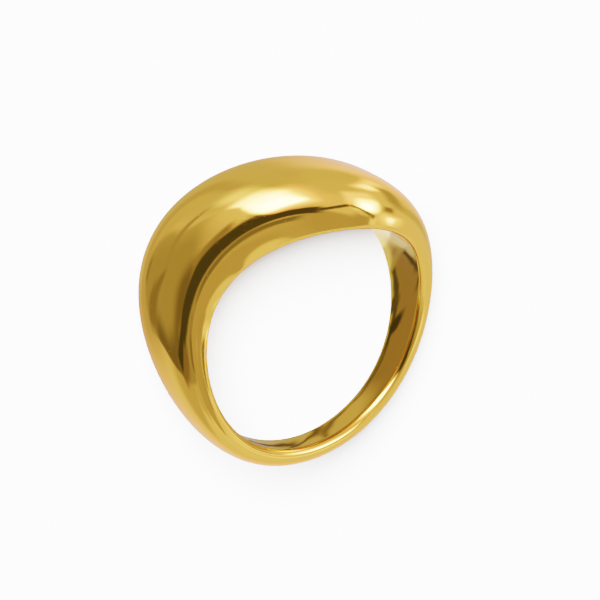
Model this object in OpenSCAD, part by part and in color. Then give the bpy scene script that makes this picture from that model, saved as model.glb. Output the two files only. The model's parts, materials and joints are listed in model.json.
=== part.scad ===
// A domed finger ring, lying on its side as it rests by itself.
// Units are millimetres. The finger bore points up, leaning a little, and the dome is in front, toward -Y.
// Origin: on the floor, under the middle of the ring's bounding box.
// Angles round the ring start at the middle of the dome and run toward -X.

/* [Finger bore] */
// Inner diameter
bore_d = 17.3; // [13:0.1:23]
// Rounding between the bore and the sides of the ring
rim_round = 0.4; // [0.2:0.05:0.8]

/* [Dome] */
// Width of the ring across the middle of the dome
dome_w = 8; // [5:0.1:14]
// Thickness of the ring at the middle of the dome
dome_t = 4.2; // [2:0.1:7]
// Fullness of the dome's cross-section, where 2 is an ellipse
dome_fullness = 3; // [2:0.1:4]

/* [Shank] */
// Width of the ring opposite the dome
shank_w = 2.4; // [1.8:0.1:6]
// Thickness of the ring opposite the dome
shank_t = 1.5; // [1.1:0.1:3]
// Fullness of the shank's cross-section, where 2 is an ellipse
shank_fullness = 2; // [2:0.1:4]

/* [Sweep from the dome to the shank] */
// How far the middle line sways up on one side of the dome and down on the other
sway = 2; // [0:0.1:3]
// How fast the width falls off along the ring
width_falloff = 1.3; // [0.8:0.1:4]
// How fast the thickness falls off along the ring
thickness_falloff = 3.3; // [1:0.1:6]
// How fast the sway falls off along the ring
sway_falloff = 2.9; // [1:0.1:5]

/* [Which piece to draw] */
// One piece by name, or all

/* [Hidden] */
$fn = 180;
bore_r = bore_d / 2;

// Sections round the ring, and steps along one side of a section
turns = 160;
rim_steps = 5;
side_steps = 12;

// The rounding meets the bore at this angle instead of running out along it
rim_angle = 25;

// Depth to which the sections reach into the bore before it is cut
bore_overlap = 1;

// Width, thickness and middle line round the ring

// How much of the dome is left at an angle: 1 at its middle, 0 opposite
function dome_share(angle) = (1 + cos(angle)) / 2;

function blend(at_shank, at_dome, share) = at_shank + (at_dome - at_shank) * share;

function half_width(angle) = blend(shank_w, dome_w, pow(dome_share(angle), width_falloff)) / 2;

function thickness(angle) = blend(shank_t, dome_t, pow(dome_share(angle), thickness_falloff));

function fullness(angle) = blend(shank_fullness, dome_fullness, dome_share(angle));

// The sway is scaled to reach its named size at its peak, where its slope is zero
function sway_shape(angle) = sin(angle) * pow(dome_share(angle), sway_falloff);
sway_peak = sway_shape(acos(sway_falloff / (1 + sway_falloff)));
function middle(angle) = sway * sway_shape(angle) / sway_peak;

// Cross-sections, as points of [height along the bore axis, radius from it]

// The first steps go round the rim, the others over the side to the crest
rim_foot = bore_r + rim_round * cos(rim_angle);
side_points = 1 + rim_steps + side_steps;
function half_section(angle) = let (
    half = half_width(angle),
    rise = bore_r + thickness(angle) - rim_foot,
    power = 2 / fullness(angle)
) [
    [half - rim_round, bore_r - bore_overlap],
    for (step = [0:rim_steps - 1])
        let (swing = 90 * step / rim_steps)
        [half - rim_round * (1 - sin(swing)), rim_foot - rim_round * cos(swing)],
    for (step = [0:side_steps - 1])
        let (swing = 90 * step / side_steps)
        [half * pow(cos(swing), power), rim_foot + rise * pow(sin(swing), power)],
];

// A whole section runs from the lower side of the bore over the crest to its upper side
section_points = 2 * side_points + 1;
function section(angle) = let (
    half = half_section(angle),
    centre = middle(angle)
) [
    for (point = half) [centre - point[0], point[1]],
    [centre, bore_r + thickness(angle)],
    for (i = [side_points - 1:-1:0]) [centre + half[i][0], half[i][1]],
];

// The skin joins each section to the next, all the way round

function placed(point, angle) = [-point[1] * sin(angle), -point[1] * cos(angle), point[0]];

turn_angles = [for (turn = [0:turns - 1]) 360 * turn / turns];
sections = [for (angle = turn_angles) section(angle)];
skin_points = [
    for (turn = [0:turns - 1], point = sections[turn]) placed(point, turn_angles[turn])
];

function corner(turn, i) = (turn % turns) * section_points + i % section_points;
skin_faces = [
    for (turn = [0:turns - 1], i = [0:section_points - 1])
        let (
            lower = corner(turn, i),
            upper = corner(turn, i + 1),
            next_lower = corner(turn + 1, i),
            next_upper = corner(turn + 1, i + 1)
        )
        each [[lower, next_lower, next_upper], [lower, next_upper, upper]],
];

// Centre of mass, which lies on the line from the bore axis to the middle of the dome

function total(list) = list * [for (item = list) 1];

// Area integrals of the radius and of its square over one section, taken edge by edge
function radius_moments(section) = let (
    edges = [
        for (i = [0:section_points - 1])
            let (from = section[i], to = section[(i + 1) % section_points])
            [to[0] - from[0], max(from[1], bore_r), max(to[1], bore_r)],
    ]
) [
    total([for (e = edges) e[0] * (e[1] * e[1] + e[1] * e[2] + e[2] * e[2]) / 6]),
    total([for (e = edges) e[0] * (e[1] + e[2]) * (e[1] * e[1] + e[2] * e[2]) / 12]),
];

moments = [for (section = sections) radius_moments(section)];
mass_reach = total([for (turn = [0:turns - 1]) moments[turn][1] * cos(turn_angles[turn])])
    / total([for (moment = moments) moment[0]]);
mass_centre = [0, -mass_reach, 0];

// The ring rests on its lower side, leaning about X and Y so that its centre of mass is lowest

// The rows of the rotation give a point's x, y and z after leaning
function x_row(lean) = [cos(lean[1]), sin(lean[1]) * sin(lean[0]), sin(lean[1]) * cos(lean[0])];
function y_row(lean) = [0, cos(lean[0]), -sin(lean[0])];
function z_row(lean) = [-sin(lean[1]), cos(lean[1]) * sin(lean[0]), cos(lean[1]) * cos(lean[0])];

lower_points = [
    for (turn = [0:turns - 1], i = [1:side_points]) skin_points[corner(turn, i)],
];
function lowest(up) = min([for (point = lower_points) point * up]);
function mass_height(lean) = let (up = z_row(lean)) mass_centre * up - lowest(up);

// Takes the best lean in a grid round the last one, and goes on with a finer grid
function settled(lean, spacing) = spacing < 0.002 ? lean : let (
    options = [for (i = [-2:2], j = [-2:2]) lean + spacing * [i, j]],
    heights = [for (option = options) mass_height(option)],
    best = search(min(heights), heights)[0]
) settled(options[best], spacing * 0.6);

rest_lean = settled([0, 0], 12);

// The middle of the leaning ring's reach along a row
function reach_middle(row) = let (reach = [for (point = skin_points) point * row])
    (min(reach) + max(reach)) / 2;

module resting() {
    translate([-reach_middle(x_row(rest_lean)), -reach_middle(y_row(rest_lean)), -lowest(z_row(rest_lean))])
        rotate([rest_lean[0], rest_lean[1], 0])
            children();
}

// The ring: its skin, with the finger bore cut through
module ring() {
    color("gold")
        resting()
            difference() {
                polyhedron(skin_points, skin_faces);
                cylinder(d = bore_d, h = 2 * (dome_w + sway), center = true);
            }
}

ring();
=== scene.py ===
"""A polished gold dome ring, lying on its side on a pale floor in soft studio light."""

import json
import math

import bpy
import numpy as np
from mathutils import Matrix, Vector


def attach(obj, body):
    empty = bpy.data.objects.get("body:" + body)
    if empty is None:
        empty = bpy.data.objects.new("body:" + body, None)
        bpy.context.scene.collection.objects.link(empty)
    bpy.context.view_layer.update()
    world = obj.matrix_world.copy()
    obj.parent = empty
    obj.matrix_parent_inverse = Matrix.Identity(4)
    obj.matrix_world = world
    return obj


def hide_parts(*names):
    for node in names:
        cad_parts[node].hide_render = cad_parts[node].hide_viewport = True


MM = 0.001

# The ring's sizes in millimetres, as in the CAD source
BORE_RADIUS = 8.65
RIM_ROUND = 0.4
DOME_WIDTH = 8.0
DOME_THICKNESS = 4.2
DOME_FULLNESS = 3.0
SHANK_WIDTH = 2.4
SHANK_THICKNESS = 1.5
SHANK_FULLNESS = 2.0
SWAY = 2.0
WIDTH_FALLOFF = 1.3
THICKNESS_FALLOFF = 3.3
SWAY_FALLOFF = 2.9

# Steps of the ring's mesh: round the ring, and along the parts of a cross-section
TURNS = 480
RIM_STEPS = 14
SIDE_STEPS = 44
BORE_STEPS = 24

# The gold: its colour face on and at the edges, and its roughness from the smoothest to the dullest patch
GOLD = (1.0, 0.6, 0.12, 1)
GOLD_EDGE = (1.0, 0.92, 0.78, 1)
SMOOTHEST = 0.04
DULLEST = 0.08

# Marks on the gold: how fine each kind is, as a noise scale per metre, and how deep, in millimetres
WAVES_SCALE = 420
WAVES_DEPTH = 0.012
LINES_SCALE = 9000
LINES_DEPTH = 0.0006
PITS_SCALE = 2400
PITS_DEPTH = 0.002
PATCHES_SCALE = 260

# How much a polishing line changes on its way round the ring
LINES_ROUND_RING = 5

# A pit's rim and floor as shares of a cell, the share of cells without a pit, and how soft that limit is
PITS_RIM = 0.16
PITS_FLOOR = 0.06
PITS_LEFT_OUT = 0.74
PITS_SOFTNESS = 0.04

# The noise levels between which a patch turns dull
PATCHES_START = 0.35
PATCHES_FULL = 0.7

# The photo's view of the ring: degrees from the bore axis to one side and toward the dome, and the lean
VIEW_SIDE = 25.64
VIEW_FRONT = 32.47
VIEW_ROLL = -19.9

# The camera's distance, its shift to the right and up, and how far it sees, all in millimetres
VIEW_DISTANCE = 500
VIEW_RIGHT = -0.043
VIEW_UP = 1.765
VIEW_END = 10000

# Its lens, from the photo's scale and width in pixels and the sensor's width in millimetres
VIEW_PIXELS_PER_MM = 14.505
PHOTO_PIXELS = 600
SENSOR_MM = 36

# How much green and blue a light loses at a warmth of 1
GREEN_LOSS = 0.4
BLUE_LOSS = 0.3

# The studio round the ring, in the camera's upright view: a base light with soft cards laid over it in turn
# Each row: the card's place in degrees right of the camera and above it, and how far its top leans right,
# then its left, right, bottom and top edge from there, each with its softness, then brightness and warmth
STUDIO_BASE = (0.92, 0.45)
STUDIO_CARDS = [
    # Soft surroundings above, beside and below
    ((0, 90, 0), (-38, 24), (38, 24), (-38, 24), (38, 24), 0.7, 0.3),
    ((50, 42, 0), (-22, 16), (18, 16), (-24, 24), (30, 20), 0.74, 0.3),
    ((-85, -58, 0), (-26, 20), (50, 16), (-20, 16), (26, 16), 0.55, 0.3),
    ((-10, -50, 0), (-50, 20), (40, 12), (-14, 16), (26, 12), 0.52, 0.3),
    ((70, -62, 0), (-40, 20), (30, 20), (-16, 16), (18, 16), 1.0, 0.4),
    ((54, -44, 0), (-26, 10), (14, 3), (-16.5, 2), (15, 6), 0.46, 0.3),
    ((63, -30, 0), (-7, 8), (9, 3), (-5, 4), (5, 5), 0.42, 0.2),
    ((14, -56, 0), (-12, 8), (11, 8), (-18, 10), (20, 8), 0.58, 0.3),
    # Warm glow from behind, which lights the silhouette
    ((-135, 5, 0), (-30, 30), (30, 8), (-25, 20), (75, 20), 0.62, 0.6),
    ((180, 28, 0), (-34, 44), (40, 44), (-18, 20), (18, 24), 1.5, 0.9),
    ((-176, -30, 0), (-30, 40), (26, 44), (-20, 20), (16, 20), 1.4, 0.9),
    # Brown side on the left
    ((-70, -33, 28), (-64, 6), (70, 6), (-14, 3), (84, 10), 0.34, 0.1),
    ((-75, 60, 0), (-80, 30), (30, 30), (-24, 36), (30, 20), 0.62, 0.2),
    ((-70, -33, 28), (-46, 10), (8, 16), (-14, 3), (-4, 12), 0.16, 0),
    ((-72, -32, 0), (-20, 14), (18, 10), (-6, 6), (7, 16), 0.16, 0),
    ((-122, 10, 0), (-10, 12), (3, 6), (-26, 16), (50, 20), 0.5, 0.3),
    ((-40, -8, 0), (-24, 28), (36, 16), (-24, 16), (8, 20), 0.17, 0.1),
    ((-42, -47, -8), (-24, 14), (26, 14), (-7, 8), (12, 10), 0.21, 0.3),
    # Glow left of the key light and past its upper end, with a dark patch lower down
    ((-9, 29, -35), (-32, 36), (4, 8), (-26, 36), (50, 30), 0.95, 0.5),
    ((-70, 60, 0), (-18, 16), (14, 16), (-8, 10), (8, 14), 1.6, 0.5),
    ((-28, 1, -35), (-12, 10), (11, 6), (-12, 12), (9, 14), 0.27, 0.2),
    # Dark front edge
    ((-44, -37, -18), (-22, 5), (36, 4), (-5, 4), (5, 4), 0.07, -0.3),
    ((-24, -20, 28), (-6, 5), (14, 6), (-14, 5), (14, 8), 0.075, -0.3),
    ((-4, -20, -14), (-24, 5), (21, 5), (-15, 4), (16, 8), 0.075, -0.3),
    # Key light, a leaning strip in soft layers whose upper end bends left
    ((-9, 29, -35), (-10.5, 7), (27, 24), (-52, 16), (36, 22), 1.4, 1),
    ((-9, 29, -35), (-10.5, 5), (19, 18), (-46, 14), (22, 24), 3.2, 1),
    ((-34, 50, -61), (-9.5, 5), (9, 20), (-20, 18), (13, 22), 6.5, 0.6),
    ((-9, 29, -35), (-10, 5), (12, 14), (-36, 18), (20, 24), 10, 0.3),
    ((7, 9, -35), (-9, 10), (7, 12), (-11, 12), (20, 18), 18, 0),
    # Second light with its halo
    ((60, 4, 0), (-13, 8), (16, 16), (-14, 10), (20, 16), 2.2, 1),
    ((66, -9, 0), (-9, 12), (11, 12), (-9, 8), (13, 14), 7, 0.3),
    ((66, -11, 0), (-4, 10), (5, 10), (-6, 8), (6, 10), 18, 0),
    # Lights and shades on the right
    ((104, 45, 0), (-24, 14), (26, 14), (-5, 10), (6, 10), 2.2, 1),
    ((95, 40, 0), (-9, 12), (8, 12), (-6, 10), (6, 10), 4.2, 0.8),
    ((119, 1, 10), (-22, 14), (26, 20), (-7, 8), (8, 10), 0.6, 0.2),
    ((110, 20, 30), (-10, 14), (10, 14), (-16, 14), (18, 10), 0.42, 0.2),
    ((91, -8, 0), (-6, 8), (6, 8), (-5, 6), (5, 6), 0.27, 0.2),
    ((96, -21, 0), (-12, 12), (12, 14), (-4, 6), (4, 6), 2.0, 0.8),
    ((97, -22, 0), (-4, 7), (4, 7), (-1.5, 3), (2, 3), 7.0, 0.6),
    ((93, -37, 0), (-8, 6), (8, 6), (-2, 3), (2, 3), 1.8, 0.5),
    ((76, -26, 0), (-3, 4), (4, 4), (-4, 4), (3, 4), 1.3, 0.5),
    # Dark edge's thin end on the right
    ((22, -24, 0), (-16, 5), (10, 6), (-8, 3), (5, 4), 0.08, -0.2),
    ((20, -39, 0), (-5, 4), (6, 4), (-4, 3), (4.5, 4), 0.2, 0),
    ((41, -19, -38), (-11, 4), (10, 4), (-2.5, 2), (2.5, 2), 0.1, -0.2),
    ((63, -19, 25), (-14, 3), (14, 3), (-2, 2), (2, 2), 0.25, 0),
    # Thin brown streaks at the far left
    ((-99, 26, 0), (-1.5, 2), (1.5, 3), (-18, 10), (18, 14), 0.33, 0.1),
    ((-109, -3, 42), (-1.5, 2), (2, 3), (-13, 4), (14, 8), 0.22, 0.1),
    ((-115, 6, 30), (-1.5, 2), (1.5, 2), (-5, 4), (6, 6), 0.23, 0.1),
]

# A glowing disc of painted light and shade that the bore reflects, in millimetres, with the noise scale of
# its wobble per metre
HOLE_FLOOR_RADIUS = 10.4
HOLE_FLOOR_DEPTH = 0.05
HOLE_FLOOR_WOBBLE = 0.3
HOLE_FLOOR_WOBBLE_SCALE = 700
NOISE_MIDDLE = (0.5, 0.5, 0.5)

# Its painted light and shade: a base with soft rings and spots laid over it in turn, where a spot is a ring
# from below zero
# Each row: centre x and y, radius from, radius to and softness in millimetres, then brightness and warmth
PAINTED_REFLECTION_BASE = (0.5, 0.1)
PAINTED_REFLECTION_BANDS = [
    # Dark rings and spots are painted shadow of the floor next to the ring, bright spots painted lit floor
    (6.5, 1.7, 8.85, 9.12, 0.25, 0.1, 0),
    (0.1, -0.8, -1, 7.75, 0.25, 0.26, 0.3),
    (0.1, -0.8, 7.75, 8.15, 0.25, 0.09, -0.2),
    (0.3, 6.7, -1, 1.9, 0.7, 0.54, 0.2),
    (-4.36, 12.28, 6.13, 6.24, 0.14, 0.07, -0.2),
    (-6.9, 3.0, -1, 0.4, 0.4, 0.36, 0.1),
    (-3.9, 5.75, -1, 0.4, 0.3, 0.06, -0.2),
    (-5.4, 5.3, -1, 0.5, 0.4, 0.1, -0.2),
    (-9.0, 0.5, -1, 2.1, 0.8, 1.5, 0),
    (-8.6, 2.6, -1, 1.72, 0.3, 0.75, 0),
    (-7.6, 4.4, -1, 1.15, 0.4, 0.6, 0),
]

# The pale floor with its radius in millimetres, the dim sky that lights its shadows, and the backdrop
FLOOR_RADIUS = 1500
FLOOR_BRIGHTNESS = 9
FLOOR_WHITENESS = 0.8
FLOOR_SHADE = 0.5
BACKDROP_BRIGHTNESS = 2 * FLOOR_BRIGHTNESS
DISC_CORNERS = 96

# The floor's own soft lamp in degrees, which stands in front of the ring and above it
LAMP_AZIMUTH = 11
LAMP_ELEVATION = 45
LAMP_SPREAD = 27


def dome_share(angle):
    """How much of the dome is left at an angle: 1 at its middle, 0 opposite."""
    return (1 + np.cos(angle)) / 2


def blend(at_shank, at_dome, share):
    """A value between the shank's and the dome's."""
    return at_shank + (at_dome - at_shank) * share


def middle(angle):
    """Height of the ring's middle line along the bore axis."""
    peak = math.acos(SWAY_FALLOFF / (1 + SWAY_FALLOFF))

    def shape(at):
        return np.sin(at) * dome_share(at) ** SWAY_FALLOFF

    return SWAY * shape(angle) / shape(peak)


def half_section(angle):
    """Points of [height above the middle line, radius], from the bore's edge to just before the crest."""
    share = dome_share(angle)
    half = blend(SHANK_WIDTH, DOME_WIDTH, share**WIDTH_FALLOFF) / 2
    rise = blend(SHANK_THICKNESS, DOME_THICKNESS, share**THICKNESS_FALLOFF) - RIM_ROUND
    power = 2 / blend(SHANK_FULLNESS, DOME_FULLNESS, share)
    foot = BORE_RADIUS + RIM_ROUND
    points = []
    for swing in np.linspace(0, math.pi / 2, RIM_STEPS, endpoint=False):
        points.append((half - RIM_ROUND * (1 - math.sin(swing)), foot - RIM_ROUND * math.cos(swing)))
    for step in np.linspace(0, 1, SIDE_STEPS, endpoint=False):
        swing = math.pi / 2 * step * step * (3 - 2 * step)
        points.append((half * math.cos(swing) ** power, foot + rise * math.sin(swing) ** power))
    return points


def section(angle):
    """One closed cross-section as points of [height, radius], up over the crest and back along the bore."""
    half = half_section(angle)
    thickness = blend(SHANK_THICKNESS, DOME_THICKNESS, dome_share(angle) ** THICKNESS_FALLOFF)
    crest = (0, BORE_RADIUS + thickness)
    outside = [(-height, radius) for height, radius in half] + [crest] + half[::-1]
    edge = half[0][0]
    wall = [(height, BORE_RADIUS) for height in np.linspace(edge, -edge, BORE_STEPS + 1)[1:-1]]
    points = np.array(outside + wall)
    points[:, 0] += middle(angle)
    return points


def resting_place(mount):
    """The matrix from the ring's own axes to the floor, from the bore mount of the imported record."""
    axis = Vector(mount["axis"]).normalized()
    lean_x = -math.asin(axis.y)
    lean_y = math.atan2(axis.x, axis.z)
    turn = Matrix.Rotation(lean_y, 4, "Y") @ Matrix.Rotation(lean_x, 4, "X")
    return Matrix.Translation(mount["pos_m"]) @ turn


def build_ring(place):
    """The ring as one smooth closed skin."""
    angles = np.linspace(0, 2 * math.pi, TURNS, endpoint=False)
    sections = np.array([section(angle) for angle in angles])
    heights, radii = sections[..., 0], sections[..., 1]
    around = angles[:, None]
    points = np.stack([-radii * np.sin(around), -radii * np.cos(around), heights], axis=-1) * MM
    count = sections.shape[1]
    faces = []
    for turn in range(TURNS):
        here = turn * count
        ahead = (turn + 1) % TURNS * count
        for corner in range(count):
            after = (corner + 1) % count
            faces.append((here + corner, ahead + corner, ahead + after, here + after))
    mesh = bpy.data.meshes.new("dome_ring")
    mesh.from_pydata(points.reshape(-1, 3).tolist(), [], faces)
    mesh.transform(place)
    mesh.flip_normals()
    mesh.shade_smooth()
    ring = bpy.data.objects.new("dome_ring", mesh)
    bpy.context.scene.collection.objects.link(ring)
    return ring


def add_node(tree, kind, inputs=(), **settings):
    """Adds a shader node, sets its properties, and fills its inputs with numbers or other nodes' outputs."""
    node = tree.nodes.new(kind)
    for name, value in settings.items():
        setattr(node, name, value)
    for socket, value in dict(inputs).items():
        if isinstance(value, bpy.types.NodeSocket):
            tree.links.new(value, node.inputs[socket])
        else:
            node.inputs[socket].default_value = value
    return node


def math_node(tree, operation, first, second=0.0):
    """The number that a math node makes of one or two numbers."""
    return add_node(tree, "ShaderNodeMath", {0: first, 1: second}, operation=operation).outputs[0]


def vector_node(tree, operation, first, second=(0, 0, 0), output="Vector"):
    """The vector or the number that a vector node makes of one or two vectors."""
    return add_node(tree, "ShaderNodeVectorMath", {0: first, 1: second}, operation=operation).outputs[output]


def scaled(tree, vector, factor):
    """The vector times a number."""
    inputs = {"Vector": vector, "Scale": factor}
    return add_node(tree, "ShaderNodeVectorMath", inputs, operation="SCALE").outputs["Vector"]


def parts_along(tree, vector, axes):
    """How far a vector reaches along each of the axes."""
    return [vector_node(tree, "DOT_PRODUCT", vector, axis, "Value") for axis in axes]


def noise_node(tree, point, scale, detail, output="Fac"):
    """Smooth noise at a point."""
    inputs = {"Vector": point, "Scale": scale, "Detail": detail}
    return add_node(tree, "ShaderNodeTexNoise", inputs).outputs[output]


def smooth_step(tree, value, start, end):
    """0 before start, 1 after end and smooth between them."""
    inputs = {"Value": value, "From Min": start, "From Max": end}
    return add_node(tree, "ShaderNodeMapRange", inputs, interpolation_type="SMOOTHSTEP").outputs[0]


def smooth_band(tree, value, start, end, start_softness, end_softness):
    """1 between start and end, falling to 0 outside over the softness of each edge."""
    rise = smooth_step(tree, value, start - start_softness / 2, start + start_softness / 2)
    fall = smooth_step(tree, value, end + end_softness / 2, end - end_softness / 2)
    return math_node(tree, "MULTIPLY", rise, fall)


def laid_over(tree, light, mask, colour):
    """The light so far, with a colour over it where the mask is 1."""
    # Sockets 6 and 7 of a mix node are its two colours
    return add_node(tree, "ShaderNodeMix", {0: mask, 6: light, 7: colour}, data_type="RGBA").outputs[2]


def bumped(tree, height, depth, normal=None):
    """A normal bent by a height of 0 to 1, which stands for a depth in millimetres."""
    inputs = {"Strength": 1.0, "Distance": depth * MM, "Height": height}
    if normal is not None:
        inputs["Normal"] = normal
    return add_node(tree, "ShaderNodeBump", inputs).outputs[0]


def polishing_lines(tree, point, place):
    """Noise drawn out round the bore axis, as a polishing wheel leaves it."""
    centred = vector_node(tree, "SUBTRACT", point, place.translation)
    side, front, height = parts_along(tree, centred, place.to_3x3().col)
    flat = add_node(tree, "ShaderNodeCombineXYZ", {0: side, 1: front}).outputs[0]
    reach = vector_node(tree, "LENGTH", flat, output="Value")
    around = scaled(tree, vector_node(tree, "NORMALIZE", flat), LINES_ROUND_RING)
    lift = math_node(tree, "MULTIPLY", height, LINES_SCALE)
    raised = add_node(tree, "ShaderNodeCombineXYZ", {2: lift}).outputs[0]
    inputs = {
        "Vector": vector_node(tree, "ADD", around, raised),
        "W": math_node(tree, "MULTIPLY", reach, LINES_SCALE),
        "Scale": 1.0,
        "Detail": 3.0,
    }
    return add_node(tree, "ShaderNodeTexNoise", inputs, noise_dimensions="4D").outputs["Fac"]


def pits(tree, point):
    """Sparse tiny pits: 0 on the surface and 1 in each pit."""
    cells = add_node(tree, "ShaderNodeTexVoronoi", {"Vector": point, "Scale": PITS_SCALE}).outputs
    dots = smooth_step(tree, cells["Distance"], PITS_RIM, PITS_FLOOR)
    chance = add_node(tree, "ShaderNodeSeparateXYZ", {0: cells["Color"]}).outputs[0]
    half = PITS_SOFTNESS / 2
    chosen = smooth_step(tree, chance, PITS_LEFT_OUT - half, PITS_LEFT_OUT + half)
    return math_node(tree, "MULTIPLY", dots, chosen)


def empty_material(name):
    """A new material whose node tree is still empty."""
    material = bpy.data.materials.new(name)
    material.use_nodes = True
    material.node_tree.nodes.clear()
    return material


def polished_gold(place):
    """Gold plating, polished by hand: faint waves, fine polishing lines, dull patches and a few pits."""
    material = empty_material("polished_gold")
    tree = material.node_tree
    point = add_node(tree, "ShaderNodeTexCoord").outputs["Object"]
    wavy = bumped(tree, noise_node(tree, point, WAVES_SCALE, detail=1.0), WAVES_DEPTH)
    lined = bumped(tree, polishing_lines(tree, point, place), LINES_DEPTH, wavy)
    pitted = bumped(tree, pits(tree, point), -PITS_DEPTH, lined)
    dullness = {
        "Value": noise_node(tree, point, PATCHES_SCALE, detail=4.0),
        "From Min": PATCHES_START,
        "From Max": PATCHES_FULL,
        "To Min": SMOOTHEST,
        "To Max": DULLEST,
    }
    gold = {
        "Base Color": GOLD,
        "Metallic": 1.0,
        "Roughness": add_node(tree, "ShaderNodeMapRange", dullness).outputs[0],
        "Specular Tint": GOLD_EDGE,
        "Normal": pitted,
    }
    shader = add_node(tree, "ShaderNodeBsdfPrincipled", gold)
    add_node(tree, "ShaderNodeOutputMaterial", {"Surface": shader.outputs[0]})
    return material


def light_colour(brightness, warmth):
    """Linear colour of a light: white at warmth 0, pink at 1, which gold shows orange, and cool below 0."""
    return (brightness, brightness * (1 - GREEN_LOSS * warmth), brightness * (1 - BLUE_LOSS * warmth), 1)


def card_light(tree, direction, view, card, light):
    """Lays one card over the light so far and returns the new light."""
    (azimuth, elevation, lean), left, right, bottom, top, brightness, warmth = card
    turn = Matrix.Rotation(math.radians(azimuth), 3, "Y") @ Matrix.Rotation(math.radians(-elevation), 3, "X")
    axes = (view @ turn @ Matrix.Rotation(math.radians(-lean), 3, "Z")).col
    across, upward, outward = parts_along(tree, direction, axes)
    side = math_node(tree, "ARCTAN2", across, outward)
    height = math_node(tree, "ARCSINE", upward)
    masks = [
        smooth_band(tree, angle, *(math.radians(value) for value in (start[0], end[0], start[1], end[1])))
        for angle, start, end in ((side, left, right), (height, bottom, top))
    ]
    mask = math_node(tree, "MULTIPLY", *masks)
    return laid_over(tree, light, mask, light_colour(brightness, warmth))


def build_studio(view):
    """Only the gold shows the cards. The camera sees a bright backdrop, and the floor a plain dim sky."""
    world = bpy.data.worlds.new("studio")
    bpy.context.scene.world = world
    world.use_nodes = True
    world.cycles.sampling_method = "NONE"
    tree = world.node_tree
    tree.nodes.clear()
    direction = add_node(tree, "ShaderNodeTexCoord").outputs["Generated"]
    light = light_colour(*STUDIO_BASE)
    for card in STUDIO_CARDS:
        light = card_light(tree, direction, view, card, light)
    cards = add_node(tree, "ShaderNodeBackground", {"Color": light, "Strength": 1.0})

    # Sockets 2 and 3 of a mix node are its two numbers
    rays = add_node(tree, "ShaderNodeLightPath").outputs
    strengths = {0: rays["Is Camera Ray"], 2: FLOOR_SHADE, 3: BACKDROP_BRIGHTNESS}
    strength = add_node(tree, "ShaderNodeMix", strengths).outputs[0]
    plain = add_node(tree, "ShaderNodeBackground", {"Color": (1, 1, 1, 1), "Strength": strength})
    shaders = {0: rays["Is Glossy Ray"], 1: plain.outputs[0], 2: cards.outputs[0]}
    mixed = add_node(tree, "ShaderNodeMixShader", shaders)
    add_node(tree, "ShaderNodeOutputWorld", {"Surface": mixed.outputs[0]})


def flat_disc(name, radius, centre, material):
    """A flat round object, with its radius and centre in millimetres."""
    bpy.ops.mesh.primitive_circle_add(vertices=DISC_CORNERS, radius=radius * MM, fill_type="NGON")
    disc = bpy.context.object
    disc.name = name
    disc.data.transform(Matrix.Translation(Vector(centre) * MM))
    disc.data.materials.append(material)
    return disc


def pale_floor():
    """Matt white."""
    material = empty_material("pale_floor")
    tree = material.node_tree
    white = (FLOOR_WHITENESS, FLOOR_WHITENESS, FLOOR_WHITENESS, 1)
    matt = {"Base Color": white, "Roughness": 1.0, "Specular IOR Level": 0.0}
    shader = add_node(tree, "ShaderNodeBsdfPrincipled", matt)
    add_node(tree, "ShaderNodeOutputMaterial", {"Surface": shader.outputs[0]})
    return material


def build_floor():
    """A pale floor under a broad soft lamp. The gold reflects neither of them."""
    floor = flat_disc("floor", FLOOR_RADIUS, (0, 0, 0), pale_floor())
    floor.visible_glossy = False
    floor.visible_shadow = False

    lamp = bpy.data.objects.new("floor_lamp", bpy.data.lights.new("floor_lamp", "SUN"))
    lamp.data.energy = FLOOR_BRIGHTNESS * math.pi / FLOOR_WHITENESS
    lamp.data.angle = math.radians(LAMP_SPREAD)
    lamp.rotation_euler = (math.radians(90 - LAMP_ELEVATION), 0, math.radians(LAMP_AZIMUTH))
    lamp.visible_glossy = False
    bpy.context.scene.collection.objects.link(lamp)


def painted_floor_reflection_glow():
    """Painted light and shade that each place of the disc sends up, a little uneven, for the bore to
    reflect.
    """
    material = empty_material("painted_floor_reflection")
    tree = material.node_tree
    point = add_node(tree, "ShaderNodeTexCoord").outputs["Object"]
    noise = noise_node(tree, point, HOLE_FLOOR_WOBBLE_SCALE, detail=1.0, output="Color")
    uneven = scaled(tree, vector_node(tree, "SUBTRACT", noise, NOISE_MIDDLE), HOLE_FLOOR_WOBBLE * MM)
    point = vector_node(tree, "ADD", point, uneven)
    light = light_colour(*PAINTED_REFLECTION_BASE)
    # Painted shade and light: dark bands stand for the floor's shadow next to the ring, bright ones for lit
    # floor
    for x, y, start, end, softness, brightness, warmth in PAINTED_REFLECTION_BANDS:
        centre = (x * MM, y * MM, -HOLE_FLOOR_DEPTH * MM)
        reach = vector_node(tree, "DISTANCE", point, centre, "Value")
        mask = smooth_band(tree, reach, start * MM, end * MM, softness * MM, softness * MM)
        light = laid_over(tree, light, mask, light_colour(brightness, warmth))
    glow = add_node(tree, "ShaderNodeEmission", {"Color": light, "Strength": 1.0})
    add_node(tree, "ShaderNodeOutputMaterial", {"Surface": glow.outputs[0]})
    return material


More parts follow.
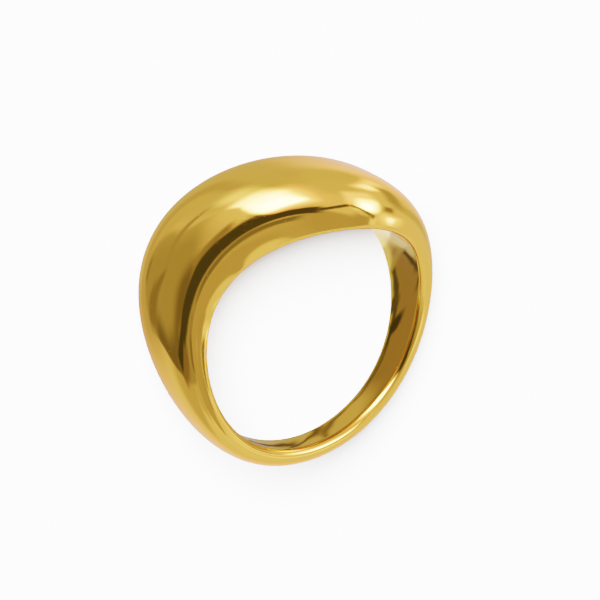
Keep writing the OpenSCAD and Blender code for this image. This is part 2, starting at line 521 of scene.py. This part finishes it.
def build_painted_floor_reflection(place):
    """A disc of painted floor light and shade, just under the floor. Only the gold shows it, in the bore and
    low on the ring's outside.
    """
    spot = place.translation / MM
    centre = (spot.x, spot.y, -HOLE_FLOOR_DEPTH)
    disc = flat_disc("painted_floor_reflection", HOLE_FLOOR_RADIUS, centre, painted_floor_reflection_glow())
    disc.visible_camera = False
    disc.visible_diffuse = False
    disc.visible_shadow = False


def view_turn(place):
    """The camera's axes as the columns of a matrix: to its right, up, and back toward it."""
    side, front, roll = (math.radians(value) for value in (VIEW_SIDE, VIEW_FRONT, VIEW_ROLL))
    turn = place.to_3x3()
    along = math.cos(front)
    back = turn @ Vector((along * math.sin(side), -math.sin(front), along * math.cos(side)))
    dome = turn @ Vector((0, -1, 0))
    level = dome.cross(back).normalized()
    upright = back.cross(level)
    right = math.cos(roll) * level + math.sin(roll) * upright
    return Matrix((right, back.cross(right), back)).transposed()


def build_camera(place, view):
    """The photo's view of the ring, from far away with a long lens."""
    data = bpy.data.cameras.new("camera")
    data.sensor_width = SENSOR_MM
    data.lens = VIEW_PIXELS_PER_MM * VIEW_DISTANCE * SENSOR_MM / PHOTO_PIXELS
    data.clip_end = VIEW_END * MM
    camera = bpy.data.objects.new("camera", data)
    bpy.context.scene.collection.objects.link(camera)
    spot = place.translation + MM * (view @ Vector((VIEW_RIGHT, VIEW_UP, VIEW_DISTANCE)))
    camera.matrix_world = Matrix.Translation(spot) @ view.to_4x4()
    bpy.context.scene.camera = camera


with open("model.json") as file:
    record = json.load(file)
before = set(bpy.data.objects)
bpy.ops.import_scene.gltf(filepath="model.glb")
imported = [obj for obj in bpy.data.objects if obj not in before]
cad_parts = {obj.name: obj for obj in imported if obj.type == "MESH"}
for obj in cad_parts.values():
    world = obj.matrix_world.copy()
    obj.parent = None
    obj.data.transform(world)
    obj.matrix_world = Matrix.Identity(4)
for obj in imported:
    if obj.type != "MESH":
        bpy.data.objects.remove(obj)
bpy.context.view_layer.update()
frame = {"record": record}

place = resting_place(frame["record"]["mounts"][0])
ring = build_ring(place)
ring.data.materials.append(polished_gold(place))
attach(ring, "root")
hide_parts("ring")

view = view_turn(place)
build_studio(view)
build_floor()
build_painted_floor_reflection(place)
build_camera(place, view)
bpy.context.scene.view_settings.view_transform = "Filmic"
bpy.context.scene.view_settings.look = "High Contrast"
